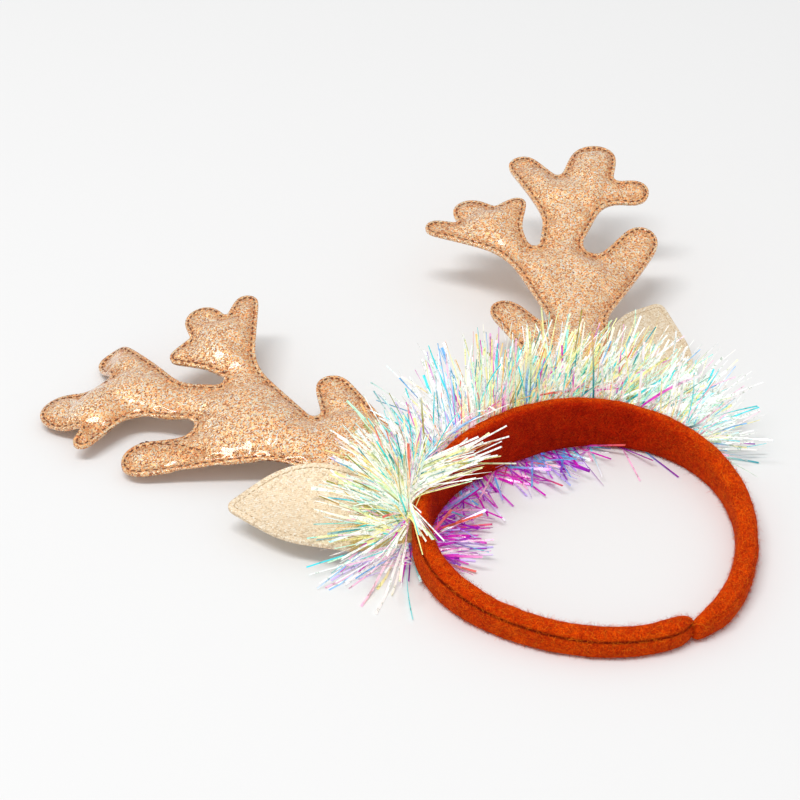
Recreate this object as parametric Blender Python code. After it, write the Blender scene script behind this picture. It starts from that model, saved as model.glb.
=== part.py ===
"""Reindeer antler headband, lying on its lower edge as it is put down.

A felt-covered C-shaped band carries two padded antlers, two ears and a
tinsel garland on its outer face.

Frame: +X to the wearer's right antler side, +Y from the band's tips
through its crown towards the antlers, +Z up. Lengths in the tables are
millimetres, and MM turns them into metres. Angles round the band are
degrees from +Y, positive towards +X.
"""
import math
import random

import bmesh
import bpy
import numpy as np
from mathutils import Vector, geometry

MM = 0.001
CLEARANCE = 0.3

# Band: an oval, slightly pinched hoop of felt over a flexible strip
HOOP_RADIUS = 65.0
HOOP_OVAL = -2.6
HOOP_EGG = -2.6
BAND_THICKNESS = 6.1
BAND_HEIGHT_CROWN = 26.0
BAND_HEIGHT_SIDE = 15.0
BAND_HEIGHT_TIP = 10.7
CROWN_LIFT = 2.0
TIP_GAP = 1.2
RIGHT_TIP_SPLAY = 3.0
SPLAY_FROM = math.radians(135.0)
BAND_STATIONS = 60
SOLE_HALF_WIDTH = 1.1
RIDGE_HALF_WIDTH = 0.9
EDGE_ROUND = 2.4
CORNER_IN = 0.75
CORNER_UP = 0.7
SIDE_SWELL = 0.15
# The felt's seam: a groove along the upper edge of the outer face
SEAM_DEPTH = 0.8
SEAM_DROP = 2.2
SEAM_SPREAD = 0.9

# How the felt closes at each end: distance from the end, then the share
# of the thickness and of the height that is left there
LEFT_TIP = (
    # distance, thickness, height
    (0.0, 0.50, 0.62),
    (1.5, 0.86, 0.88),
    (5.0, 1.08, 1.05),
    (12.0, 1.00, 1.00),
)
RIGHT_TIP = (
    (0.0, 0.42, 0.66),
    (2.0, 0.62, 0.92),
    (6.0, 0.66, 1.06),
    (14.0, 1.00, 1.00),
)

# Antler: a stuffed flat shape with a sewn rim. Its outline is a belt
# round pegs: side +1 bulges outwards round the peg, -1 bends inwards.
# The last columns are what the left antler's pegs differ by.
ANTLER_PEGS = (
    # name, x, y, radius, side, left x, left y, left radius
    ("lower_tine_tip", 131.6, 138.0, 9.1, 1, -1.4, 1.7, 0.0),
    ("lower_tine_fork", 111.2, 147.7, 5.9, -1, 0.1, -2.7, 0.0),
    ("end_branch_arch", 129.2, 155.4, 8.8, -1, -1.3, 1.8, 0.0),
    ("outer_lobe", 146.1, 162.7, 7.6, 1, 0.7, 2.0, -3.0),
    ("outer_notch", 146.9, 174.6, 3.2, -1, 1.6, -1.2, 0.0),
    ("end_lobe", 145.1, 193.4, 11.9, 1, -1.2, 2.2, -0.5),
    ("inner_notch", 125.4, 197.5, 2.8, -1, -0.8, 1.8, 0.0),
    ("inner_lobe", 114.7, 213.3, 7.8, 1, 0.0, 1.1, -0.8),
    ("gap_outer", 89.8, 178.2, 10.1, -1, 1.8, -3.4, 0.0),
    ("gap_root", 86.7, 163.8, 3.1, -1, 0.5, -2.9, 0.0),
    ("gap_inner", 96.7, 167.6, 12.0, -1, 1.5, -3.1, 0.0),
    ("far_lobe", 93.4, 188.3, 5.0, 1, -0.2, -2.6, 0.0),
    ("far_notch", 85.2, 195.0, 1.3, -1, 0.4, -1.7, 0.0),
    ("middle_lobe", 73.2, 199.3, 8.7, 1, 1.1, 0.3, 0.0),
    ("near_notch", 62.9, 197.1, 1.2, -1, 1.1, -0.7, 0.0),
    ("near_lobe", 52.7, 198.1, 5.7, 1, -0.1, -0.9, 0.0),
    ("beam_waist", 36.1, 154.8, 32.6, -1, 0.2, -3.6, 0.0),
    ("upper_tine_fork", 59.5, 118.2, 3.1, -1, 3.0, -0.3, 0.0),
    ("upper_tine_tip", 46.4, 128.1, 8.2, 1, 0.2, -0.2, 0.0),
    ("upper_tine_side", 27.1, 91.8, 11.4, -1, 0.0, -0.1, 0.0),
    ("root_inner", 37.9, 58.3, 3.2, 1, 0.0, 0.0, 0.0),
    ("root_outer", 55.1, 47.9, 3.2, 1, 0.0, 0.0, 0.0),
    ("lower_tine_root", 98.3, 92.4, 16.2, -1, 3.6, -2.4, 0.0),
)
RIM_WIDTH = 2.8
RIM_HALF_THICKNESS = 0.9
SEAM_HALF_THICKNESS = 0.7
PAD_RISE = 3.7
PAD_REACH = 9.0
OUTLINE_STEP = 5.0
ARC_STEP = math.radians(32.0)
PAD_GRID = 6.5
PAD_START = 1.3
EDGE_SHARE = 0.55

# How each antler bends: its shift in plan and its height at places on
# the flat pattern, with nothing shifted at the root
ANTLER_BEND = (
    # name, x, y, left x, left y, left height, right x, right y, right height
    ("root_inner", 38.0, 57.0, 0.0, 0.0, 12.5, 0.0, 0.0, 12.5),
    ("root_outer", 55.0, 46.0, 0.0, 0.0, 12.5, 0.0, 0.0, 12.5),
    ("upper_tine", 46.0, 128.0, 0.0, 0.0, 17.0, 0.0, 0.0, 24.5),
    ("beam", 82.0, 120.0, 0.0, 0.0, 15.5, 0.0, 0.0, 22.0),
    ("lower_tine", 134.0, 137.0, 5.7, -0.3, 5.5, 0.0, 0.0, 29.0),
    ("beam_fork", 84.0, 150.0, 0.0, 0.0, 16.0, 0.0, 0.0, 27.0),
    ("near_lobe", 52.0, 198.0, 0.0, 0.0, 25.0, 0.0, 0.0, 31.5),
    ("middle_lobe", 74.0, 202.0, 0.0, 0.0, 22.5, 0.0, 0.0, 34.0),
    ("far_lobe", 94.0, 187.0, 0.0, 0.0, 17.0, 0.0, 0.0, 37.0),
    ("branch", 116.0, 180.0, 1.0, -1.0, 12.0, 0.0, 0.0, 38.0),
    ("inner_lobe", 113.0, 213.0, 0.0, 0.0, 10.0, 0.0, 0.0, 40.0),
    ("end_lobe", 147.0, 192.0, 5.2, -5.6, 11.8, -2.0, 0.0, 44.5),
    ("outer_lobe", 148.0, 163.0, 5.6, -2.0, 8.0, 0.0, 0.0, 41.0),
)
# The left end lobe drops behind a soft fold, from the inner notch to
# the outer lobe's tip
FOLD_START = (122.0, 196.0)
FOLD_END = (152.0, 165.0)
FOLD_WIDTH = 12.5
FOLD_DROP = 6.6

# Ear: a leaf of lame cloth, cupped along its length. Its own frame is u
# from the band to the tip and v across.
EAR_PEGS = (
    # name, u, v, radius, side
    ("tip", 73.5, 0.0, 3.5, 1),
    ("upper_side", 40.0, -18.0, 40.0, 1),
    ("upper_base", 22.0, 9.0, 11.0, 1),
    ("upper_neck", 5.0, 15.5, 5.0, -1),
    ("upper_root", 1.5, 4.0, 3.2, 1),
    ("lower_root", 1.5, -4.0, 3.2, 1),
    ("lower_neck", 6.0, -13.6, 5.0, -1),
    ("lower_base", 22.0, -5.5, 11.0, 1),
    ("lower_side", 40.0, 24.0, 40.0, 1),
)
EAR_PLACES = (
    # name, side, band angle, heading, root height, tip rise, roll, cup
    ("ear_left", -1, 60.5, 50.0, 10.0, 3.0, 0.25, 5.0),
    ("ear_right", 1, 60.5, 38.0, 10.0, 14.0, 0.25, 5.0),
)
EAR_LENGTH = 77.0
EAR_HALF_WIDTH = 22.0
EAR_HALF_THICKNESS = 1.1
EAR_RIM_HALF_THICKNESS = 0.8
EAR_RIM = 2.6
EAR_GRID = 9.0

# Garland: one tinsel string that runs over the roots and back below
# them, with a strip bundle on every stretch of its core
GARLAND_HALF_ANGLE = 70.0
GARLAND_STRETCHES = 34
TURN_STRETCHES = 4
TURN_BULGE = 3.0
CORE_SIZE = 3.6
UPPER_RUN_BELOW_EDGE = 4.4
BUNDLE_ROWS = (
    # stretch of the core, face, lift from level, spread, shortest, longest
    ("upper", "rim", 68.0, 11.0, 24.0, 36.0),
    ("upper", "outer", 41.0, 6.0, 26.0, 38.0),
    ("lower", "outer", 1.5, 1.5, 20.0, 30.0),
    ("turn", "rim", 24.0, 16.0, 14.0, 24.0),
    ("turn", "outer", 12.0, 8.0, 18.0, 26.0),
)
BUNDLE_MIDDLE_SHARE = 0.75
BUNDLE_TIP_SHARE = 0.34
BUNDLE_SWAY = 3.5
GARLAND_SEED = 12

COLOURS = {
    # name: base colour, roughness, metallic
    "felt": ((0.42, 0.08, 0.01), 0.95, 0.0),
    "glitter_vinyl": ((0.80, 0.50, 0.36), 0.25, 0.3),
    "lame": ((0.80, 0.64, 0.46), 0.40, 0.4),
    "tinsel": ((0.85, 0.92, 0.88), 0.20, 0.5),
}


def band_radius(angle):
    """Radius of the band's middle line at an angle in radians."""
    splay = max(0.0, (angle - SPLAY_FROM) / (math.pi - SPLAY_FROM)) ** 2
    oval = HOOP_OVAL * math.cos(2 * angle) + HOOP_EGG * math.cos(3 * angle)
    return HOOP_RADIUS + oval + RIGHT_TIP_SPLAY * splay


def band_height(angle):
    """Height of the strip, widest at the crown and narrow at the tips."""
    share = (1 - math.cos(angle)) / 2
    crown = BAND_HEIGHT_CROWN * (1 - share) * (1 - 2 * share)
    side = BAND_HEIGHT_SIDE * 4 * share * (1 - share)
    tip = BAND_HEIGHT_TIP * share * (2 * share - 1)
    return crown + side + tip


def band_lift(angle):
    """The lower edge lies flat on the arms and lifts a little at the crown."""
    return CROWN_LIFT * max(0.0, math.cos(angle)) ** 2


def band_point(angle, outwards=0.0):
    """Plan point on the band, some way outwards from its middle line."""
    radius = band_radius(angle)
    step = 0.01
    slope = (band_radius(angle + step) - band_radius(angle - step)) / (2 * step)
    radial = Vector((math.sin(angle), math.cos(angle)))
    along = Vector((math.cos(angle), -math.sin(angle)))
    tangent = (radial * slope + along * radius).normalized()
    normal = Vector((-tangent.y, tangent.x))
    return radial * radius + normal * outwards


def clear_of_band(point, distance):
    """Move a plan point out until it is that far off the band's outer face."""
    angle = math.atan2(point.x, point.y)
    face = band_point(angle, BAND_THICKNESS / 2 + distance)
    if point.length < face.length:
        return point.normalized() * face.length
    return point


def closing(table, distance):
    """Shares of thickness and height at a distance from the band's end."""
    steps = [row[0] for row in table]
    thickness = np.interp(distance, steps, [row[1] for row in table])
    height = np.interp(distance, steps, [row[2] for row in table])
    return thickness, height


def add_object(name, mesh, colour, parent):
    """Link a mesh as a named object with its own material."""
    base, roughness, metallic = COLOURS[colour]
    material = bpy.data.materials.new(name)
    material.use_nodes = True
    shader = material.node_tree.nodes["Principled BSDF"]
    shader.inputs["Base Color"].default_value = (*base, 1.0)
    shader.inputs["Roughness"].default_value = roughness
    shader.inputs["Metallic"].default_value = metallic
    mesh.materials.append(material)
    mesh.shade_smooth()
    mesh.set_sharp_from_angle(angle=math.radians(50))
    piece = bpy.data.objects.new(name, mesh)
    piece.parent = parent
    parts.objects.link(piece)
    return piece


def mesh_from(name, points, faces):
    """Make a closed mesh in metres, with its faces pointing out."""
    shape = bmesh.new()
    corners = [shape.verts.new(Vector(point) * MM) for point in points]
    for face in faces:
        shape.faces.new([corners[index] for index in face])
    bmesh.ops.recalc_face_normals(shape, faces=shape.faces)
    if shape.calc_volume(signed=True) < 0:
        bmesh.ops.reverse_faces(shape, faces=shape.faces)
    mesh = bpy.data.meshes.new(name)
    shape.to_mesh(mesh)
    shape.free()
    return mesh


def band_section(height):
    """Felt section from the sole up the outer side and down the inner one."""
    half = BAND_THICKNESS / 2
    corner = half - CORNER_IN
    waist = height / 2
    return (
        (-SOLE_HALF_WIDTH, 0.0),
        (SOLE_HALF_WIDTH, 0.0),
        (corner, CORNER_UP),
        (half, EDGE_ROUND),
        (half + SIDE_SWELL, waist),
        (half, height - SEAM_DROP - SEAM_SPREAD),
        (half - SEAM_DEPTH, height - SEAM_DROP),
        (corner, height - CORNER_UP),
        (RIDGE_HALF_WIDTH, height),
        (-RIDGE_HALF_WIDTH, height),
        (-corner, height - CORNER_UP),
        (-half, height - EDGE_ROUND),
        (-half - SIDE_SWELL, waist),
        (-half, EDGE_ROUND),
        (-corner, CORNER_UP),
    )


def make_band(parent):
    """Loft the felt band round its hoop from one tip to the other."""
    tip_angle = TIP_GAP / 2 / HOOP_RADIUS
    first, last = -math.pi + tip_angle, math.pi - tip_angle
    spread = (last - first) / BAND_STATIONS
    angles = [first + spread * step for step in range(BAND_STATIONS + 1)]
    angles += [first + row[0] / HOOP_RADIUS for row in LEFT_TIP[1:3]]
    angles += [last - row[0] / HOOP_RADIUS for row in RIGHT_TIP[1:3]]
    angles.sort()
    points = []
    for angle in angles:
        if angle < 0:
            thickness, tallness = closing(LEFT_TIP, (angle - first) * HOOP_RADIUS)
        else:
            thickness, tallness = closing(RIGHT_TIP, (last - angle) * HOOP_RADIUS)
        height = band_height(angle)
        sole = band_lift(angle) + height * max(0.0, 1.0 - tallness) / 2
        for across, up in band_section(height):
            spot = band_point(angle, across * thickness)
            points.append((spot.x, spot.y, sole + up * tallness))
    size = len(band_section(BAND_HEIGHT_TIP))
    faces = [tuple(range(size)), tuple(range(len(points) - size, len(points)))]
    for station in range(len(angles) - 1):
        here, there = station * size, (station + 1) * size
        for step in range(size):
            after = (step + 1) % size
            faces.append((here + step, here + after, there + after, there + step))
    return add_object("felt_band", mesh_from("felt_band", points, faces), "felt", parent)


def belt_headings(pegs, radii):
    """Heading of each straight run, from its peg to the next one."""
    headings = []
    for index, peg in enumerate(pegs):
        after = (index + 1) % len(pegs)
        away = Vector(pegs[after][1:3]) - Vector(peg[1:3])
        change = radii[after] - radii[index]
        headings.append(math.atan2(away.y, away.x) - math.asin(change / away.length))
    return headings


def on_peg(peg, radius, heading):
    """Point where a belt with this heading touches a peg."""
    normal = Vector((-math.sin(heading), math.cos(heading)))
    return Vector(peg[1:3]) - normal * radius


def belt_turn(headings, index, side):
    """Signed turn of the belt round a peg, also where it passes half a turn."""
    turn = (headings[index] - headings[index - 1] + math.pi) % (2 * math.pi) - math.pi
    if turn * side < -1.0:
        turn += 2 * math.pi * side
    return turn


def belt(pegs, inset=0.0):
    """Points on a belt round the pegs, moved inwards by the inset.

    Each straight run and each arc has the same number of points for any
    inset, so that belts of one outline match point by point.
    """
    plain = [row[3] * row[4] for row in pegs]
    radii = [radius - inset for radius in plain]
    plain_headings = belt_headings(pegs, plain)
    headings = belt_headings(pegs, radii)
    points = []
    for index, peg in enumerate(pegs):
        after = (index + 1) % len(pegs)
        bend = abs(belt_turn(plain_headings, index, peg[4]))
        steps = max(1, round(bend / ARC_STEP), round(bend * peg[3] / OUTLINE_STEP))
        sweep = belt_turn(headings, index, peg[4])
        for step in range(steps + 1):
            heading = headings[index] - sweep * (1 - step / steps)
            points.append(on_peg(peg, radii[index], heading))
        run = on_peg(pegs[after], plain[after], plain_headings[index])
        run -= on_peg(peg, plain[index], plain_headings[index])
        pieces = max(1, round(run.length / OUTLINE_STEP))
        start = on_peg(peg, radii[index], headings[index])
        stop = on_peg(pegs[after], radii[after], headings[index])
        points += [start.lerp(stop, piece / pieces) for piece in range(1, pieces)]
    return points


def grid_inside(border, grid):
    """Staggered points inside a loop, clear of its edge."""
    low_x, high_x = min(point.x for point in border), max(point.x for point in border)
    low_y, high_y = min(point.y for point in border), max(point.y for point in border)
    rows = int((high_y - low_y) / (grid * math.sqrt(0.75))) + 1
    columns = int((high_x - low_x) / grid) + 1
    spots = []
    for row in range(rows):
        for column in range(columns):
            x = low_x + (column + row % 2 / 2) * grid
            spot = Vector((x, low_y + row * grid * math.sqrt(0.75)))
            if inside_loop(spot, border) and distance_to(spot, border) > grid * EDGE_SHARE:
                spots.append(spot)
    return spots


def sheet_faces(rings, grid):
    """Fill nested outline rings: strips between rings, then a fine middle."""
    count = len(rings[0])
    faces = []
    for level in range(len(rings) - 1):
        here, inside = level * count, (level + 1) * count
        for step in range(count):
            after = (step + 1) % count
            faces.append((here + step, here + after, inside + after))
            faces.append((here + step, inside + after, inside + step))
    border = rings[-1]
    inner = grid_inside(border, grid)
    first = (len(rings) - 1) * count
    edges = [(step, (step + 1) % count) for step in range(count)]
    found, _, triangles, _, _, _ = geometry.delaunay_2d_cdt(border + inner, edges, [], 1, 1e-6)
    if len(found) != len(border) + len(inner):
        raise ValueError("an outline crosses itself")
    faces += [tuple(first + index for index in triangle) for triangle in triangles]
    points = [point for ring in rings for point in ring] + inner
    return points, faces, count


def inside_loop(spot, loop):
    """Whether a point lies within a closed loop."""
    crossings = 0
    for here, there in zip(loop, loop[1:] + loop[:1]):
        if (here.y > spot.y) != (there.y > spot.y):
            crossings += spot.x < here.x + (spot.y - here.y) * (there.x - here.x) / (there.y - here.y)
    return crossings % 2 == 1


def distance_to(spot, loop):
    """Distance from a point to a closed loop."""
    best = math.inf
    for here, there in zip(loop, loop[1:] + loop[:1]):
        nearest, share = geometry.intersect_point_line(spot, here, there)
        near = here.lerp(there, min(1.0, max(0.0, share)))
        best = min(best, (spot - near.to_2d()).length)
    return best


def puffed_solid(name, points, faces, border_count, half_thickness, surface, side):
    """Close a flat pattern into a cushion round a curved middle surface.

    The pattern is drawn for the +X side and mirrored for the other one.
    """
    upper, lower = [], []
    for point, half in zip(points, half_thickness):
        centre = surface(point.x, point.y)
        slope_x = surface(point.x + 0.5, point.y) - surface(point.x - 0.5, point.y)
        slope_y = surface(point.x, point.y + 0.5) - surface(point.x, point.y - 0.5)
        normal = slope_x.cross(slope_y).normalized()
        for layer, corner in ((upper, centre + normal * half), (lower, centre - normal * half)):
            plan = clear_of_band(corner.to_2d(), CLEARANCE)
            layer.append((plan.x * side, plan.y, corner.z))
    total = len(points)
    closed = list(faces) + [tuple(total + index for index in reversed(face)) for face in faces]
    for step in range(border_count):
        after = (step + 1) % border_count
        closed.append((step, total + step, total + after))
        closed.append((step, total + after, after))
    return mesh_from(name, upper + lower, closed)


def thin_plate(spots, values):
    """Smooth surface through values at scattered spots of the plan."""
    count = len(spots)

    def kernel(distance):
        return distance ** 2 * np.log(np.maximum(distance, 1e-9))

    apart = np.linalg.norm(spots[:, None] - spots[None, :], axis=2)
    plane = np.column_stack([np.ones(count), spots])
    system = np.block([[kernel(apart), plane], [plane.T, np.zeros((3, 3))]])
    weights = np.linalg.solve(system, np.vstack([values, np.zeros((3, values.shape[1]))]))

    def sample(x, y):
        distance = np.hypot(spots[:, 0] - x, spots[:, 1] - y)
        return kernel(distance) @ weights[:count] + np.array([1.0, x, y]) @ weights[count:]

    return sample


def antler_surface(side):
    """Where each spot of the flat antler pattern lies once it is bent."""
    spots = np.array([row[1:3] for row in ANTLER_BEND])
    values = np.array([row[3:6] if side < 0 else row[6:9] for row in ANTLER_BEND])
    bend = thin_plate(spots, values)
    fold_start, fold_end = Vector(FOLD_START), Vector(FOLD_END)
    along = (fold_end - fold_start).normalized()
    beyond = Vector((-along.y, along.x))

    def surface(x, y):
        shift_x, shift_y, height = bend(x, y)
        if side < 0:
            past = (Vector((x, y)) - fold_start).dot(beyond) / FOLD_WIDTH
            past = min(1.0, max(0.0, past))
            height -= FOLD_DROP * past * past * (3 - 2 * past)
        return Vector((x + shift_x, y + shift_y, height))

    return surface


def seated_rings(pegs, insets):
    """Nested outlines of a pattern, cut to the band's face at its root."""
    rings = []
    for inset in insets:
        ring = [clear_of_band(point, CLEARANCE + inset) for point in belt(pegs, inset)]
        rings.append(ring)
    return rings


def antler_pegs(side):
    """The pegs of one antler, with what the left one differs by."""
    share = 1.0 if side < 0 else 0.0
    pegs = []
    for name, x, y, radius, turn, left_x, left_y, left_radius in ANTLER_PEGS:
        pegs.append((name, x + left_x * share, y + left_y * share, radius + left_radius * share, turn))
    return pegs


def make_antler(name, side, parent):
    """One antler, mirrored from the common pattern and bent its own way."""
    rings = seated_rings(antler_pegs(side), (0.0, RIM_WIDTH, RIM_WIDTH + PAD_START))
    points, faces, count = sheet_faces(rings, PAD_GRID)
    seam = rings[1]
    halves = []
    for index, point in enumerate(points):
        if index < count:
            halves.append(RIM_HALF_THICKNESS)
        elif index < 2 * count:
            halves.append(SEAM_HALF_THICKNESS)
        else:
            share = min(1.0, distance_to(point, seam) / PAD_REACH)
            halves.append(SEAM_HALF_THICKNESS + PAD_RISE * math.sin(share * math.pi / 2))
    mesh = puffed_solid(name, points, faces, count, halves, antler_surface(side), side)
    return add_object(name, mesh, "glitter_vinyl", parent)


def ear_pegs(angle, heading):
    """The ear's pegs turned and moved to their place, on the right side."""
    root = clear_of_band(band_point(math.radians(angle)), CLEARANCE)
    along = Vector((math.sin(math.radians(heading)), math.cos(math.radians(heading))))
    across = Vector((-along.y, along.x))
    places = []
    for name, u, v, radius, turn in EAR_PEGS:
        spot = root + along * u + across * v
        places.append((name, spot.x, spot.y, radius, turn))
    return places, root, along, across


def make_ear(name, side, angle, heading, root_height, tip_rise, roll, cup, parent):
    """A leaf of doubled cloth, raised towards the antler and cupped."""
    pegs, root, along, across = ear_pegs(angle, heading)
    points, faces, count = sheet_faces(seated_rings(pegs, (0.0, EAR_RIM)), EAR_GRID)
    halves = [EAR_RIM_HALF_THICKNESS] * count
    halves += [EAR_HALF_THICKNESS] * (len(points) - count)

    def surface(x, y):
        spot = Vector((x, y)) - root
        u, v = spot.dot(along), spot.dot(across)
        rise = tip_rise * u / EAR_LENGTH + roll * v + cup * (v / EAR_HALF_WIDTH) ** 2
        return Vector((x, y, root_height + rise))

    mesh = puffed_solid(name, points, faces, count, halves, surface, side)
    return add_object(name, mesh, "lame", parent)


def garland_station(run, angle, height, along, up):
    """One station of the core: its run, centre, outward and rim directions."""
    outwards = BAND_THICKNESS / 2 + CLEARANCE + CORE_SIZE / 2
    centre = band_point(angle, outwards)
    tangent = (band_point(angle + 0.01, outwards) - centre).normalized()
    out = Vector((-tangent.y, tangent.x, 0.0))
    rim = Vector((tangent.x * along, tangent.y * along, up))
    return run, Vector((centre.x, centre.y, height)), out, rim


def garland_route():
    """Stations of the closed core: over the roots, down, back and up."""
    reach = math.radians(GARLAND_HALF_ANGLE)
    upper_end = band_lift(reach) + band_height(reach) - UPPER_RUN_BELOW_EDGE
    lower = CORE_SIZE / 2
    middle, rise = (upper_end + lower) / 2, (upper_end - lower) / 2
    stations = []
    for side in (1, -1):
        for step in range(GARLAND_STRETCHES):
            angle = side * reach * (2 * step / GARLAND_STRETCHES - 1)
            if side > 0:
                height = band_lift(angle) + band_height(angle) - UPPER_RUN_BELOW_EDGE
                stations.append(garland_station("upper", angle, height, 0.0, 1.0))
            else:
                stations.append(garland_station("lower", angle, lower, 0.0, -1.0))
        for step in range(TURN_STRETCHES):
            turn = math.pi * step / TURN_STRETCHES
            angle = side * (reach + math.radians(TURN_BULGE) * math.sin(turn))
            height = middle + side * rise * math.cos(turn)
            along, up = side * math.sin(turn), side * math.cos(turn)
            stations.append(garland_station("turn", angle, height, along, up))
    return stations


def grow_bundle(shape, face, direction, length):
    """Draw one face out into a tapering bundle of strips, in two steps."""
    for shrink in (BUNDLE_MIDDLE_SHARE, BUNDLE_TIP_SHARE / BUNDLE_MIDDLE_SHARE):
        root = face.calc_center_median()
        face = bmesh.ops.extrude_discrete_faces(shape, faces=[face])["faces"][0]
        for corner in face.verts:
            corner.co = root + (corner.co - root) * shrink + direction * length / 2


def make_garland(parent):
    """The tinsel garland: a closed core with strip bundles grown from it."""
    chance = random.Random(GARLAND_SEED)
    stations = garland_route()
    half = CORE_SIZE / 2
    shape = bmesh.new()
    rings = []
    for run, centre, out, rim in stations:
        corners = [(out * a + rim * b) * half for a, b in ((-1, -1), (1, -1), (1, 1), (-1, 1))]
        rings.append([shape.verts.new((centre + corner) * MM) for corner in corners])
    sides = {}
    for index, here in enumerate(rings):
        there = rings[(index + 1) % len(rings)]
        for corner, name in enumerate(("root", "outer", "rim", "inner")):
            after = (corner + 1) % 4
            ends = (here[corner], here[after], there[after], there[corner])
            sides[index, name] = shape.faces.new(ends)
    bmesh.ops.recalc_face_normals(shape, faces=shape.faces)
    for index, (run, centre, out, rim) in enumerate(stations):
        for stretch, side, lift, spread, shortest, longest in BUNDLE_ROWS:
            if stretch == run:
                face = sides[index, side]
                angle = math.radians(lift + chance.uniform(-spread, spread))
                sway = math.radians(chance.uniform(-BUNDLE_SWAY, BUNDLE_SWAY))
                direction = out * math.cos(angle) + rim * math.sin(angle)
                direction += out.cross(rim) * math.sin(sway)
                length = chance.uniform(shortest, longest)
                above_floor = half - face.calc_center_median().z / MM
                direction.z = max(direction.z, above_floor / length)
                grow_bundle(shape, face, direction.normalized(), length * MM)
    mesh = bpy.data.meshes.new("tinsel_garland")
    shape.to_mesh(mesh)
    shape.free()
    return add_object("tinsel_garland", mesh, "tinsel", parent)


def seat_on_floor(frame, pieces):
    """Shift the whole part so that its box stands on the origin."""
    corners = [corner.co for piece in pieces for corner in piece.data.vertices]
    low = Vector([min(corner[axis] for corner in corners) for axis in range(3)])
    high = Vector([max(corner[axis] for corner in corners) for axis in range(3)])
    frame.location = (-(low.x + high.x) / 2, -(low.y + high.y) / 2, -low.z)


def main():
    for old in list(bpy.data.objects):
        bpy.data.objects.remove(old, do_unlink=True)
    frame = bpy.data.objects.new("headband", None)
    parts.objects.link(frame)
    pieces = [make_band(frame)]
    pieces.append(make_antler("antler_left", -1, frame))
    pieces.append(make_antler("antler_right", 1, frame))
    pieces += [make_ear(*place, frame) for place in EAR_PLACES]
    pieces.append(make_garland(frame))
    seat_on_floor(frame, pieces)


parts = bpy.data.collections.new("reindeer_antler_headband")
bpy.context.scene.collection.children.link(parts)
main()
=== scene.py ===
import math

import bmesh
import bpy
import numpy as np
from mathutils import Matrix, Vector, noise
from mathutils.bvhtree import BVHTree


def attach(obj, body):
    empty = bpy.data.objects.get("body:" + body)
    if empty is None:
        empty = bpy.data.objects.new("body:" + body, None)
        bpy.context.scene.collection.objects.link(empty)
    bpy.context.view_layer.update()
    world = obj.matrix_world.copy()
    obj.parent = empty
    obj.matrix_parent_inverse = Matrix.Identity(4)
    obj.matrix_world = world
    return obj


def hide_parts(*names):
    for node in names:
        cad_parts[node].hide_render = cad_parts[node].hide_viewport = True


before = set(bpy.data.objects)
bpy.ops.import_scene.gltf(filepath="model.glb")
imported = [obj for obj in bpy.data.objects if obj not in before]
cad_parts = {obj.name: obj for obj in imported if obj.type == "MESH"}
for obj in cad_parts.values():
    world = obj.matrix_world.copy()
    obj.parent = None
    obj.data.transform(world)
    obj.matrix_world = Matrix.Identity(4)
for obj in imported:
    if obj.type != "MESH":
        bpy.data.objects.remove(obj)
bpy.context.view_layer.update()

MM = 0.001
UP = np.array([0.0, 0.0, 1.0])
# Corners nearer to each other than this, in metres, are joined
WELD = 0.00002
# Triangles are paired up to these angles, and edges are firm past SHARP
FLAT = math.radians(25)
SKEWED = math.radians(60)
SHARP = math.radians(45)
# A rim's faces have normals that rise less than this
RIM_RISE = 0.75

# The hoop's centre in the frame, and the band's sizes in millimetres
HOOP_CENTRE = Vector((3.326, -75.840, 0.0))
SMALL = 0.01
MEAN_RADIUS = 65.0
OVAL = 2.6
WAVE = 2.6
TIP_SPLAY = 3.0
SPLAY_FROM = math.radians(135)
SPLAY_OVER = math.radians(45)
CROWN_HEIGHT = 26.0
SIDE_HEIGHT = 15.0
TIP_HEIGHT = 10.7
CROWN_LIFT = 2.0
BAND_THICKNESS = 6.1
SEAM_DROP = 2.2
SEAM_DEPTH = 0.8
SEAM_SLACK = 1.0
SEAM_CREASED = 0.75
SEAM_WIDTH = 0.5
# The painted shade in the seam's groove fades towards the right arm, in degrees from the crown
SEAM_FADED_AT = 40.0
SEAM_FADES_OVER = 30.0
SEAM_FAINTEST = 0.15

# The felt over the solid band, in millimetres
FELT_NAP = 0.6
ARM_PADDING = 1.7
ARM_FROM = math.radians(50)
ARM_OVER = math.radians(40)
ARM_TAPER = 12.0
TIP_PRESS = 0.8
TIP_PRESS_REACH = 5.0
# Its inner face gets painted shade this deep, from the crown to where cosines reach
SHADE_FROM = 0.5
SHADE_OVER = 2.2
SHADE_COSINE = 0.15
SHADE_COSINE_OVER = 0.75
# Its dents, with distances in metres
DENT_SCALE = 90.0
RIPPLE_SCALE = 260.0
DENT_DEPTH = 0.00045
DENTS_FROM_FLOOR = 0.003
# Its loose fibres, in millimetres but for the last distance
FIBRE_COUNT = 30000
FIBRE_LENGTHS = (1.2, 4.2)
FIBRE_WIDTH = 0.10
FIBRE_LIFT = (0.02, 0.3)
FIBRE_CURL = 0.35
FIBRE_POINTS = 4
FIBRE_ARCH = 0.75
FIBRE_TAPER = 0.7
FIBRE_OFF_FLOOR = 0.00005

# A stitch one long: where it is cut, how its ends narrow and dip, and how
# much of its height it is raised by
STITCH_CUTS = (0.25, -0.25)
STITCH_TAPER = 0.45
STITCH_DIP = 0.45
STITCH_RAISED = 0.15
# Stitches and where their seams run, in millimetres
STITCH_LENGTH = 2.2
STITCH_GAP = 1.4
STITCH_WIDTH = 0.75
STITCH_HEIGHT = 0.35
ANTLER_SEAM_IN = 1.9
EAR_SEAM_IN = 2.6
EAR_STITCH_LENGTH = 1.7
EAR_STITCH_GAP = 0.8
EAR_STITCH_WIDTH = 0.4
EAR_STITCH_HEIGHT = 0.22

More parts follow.
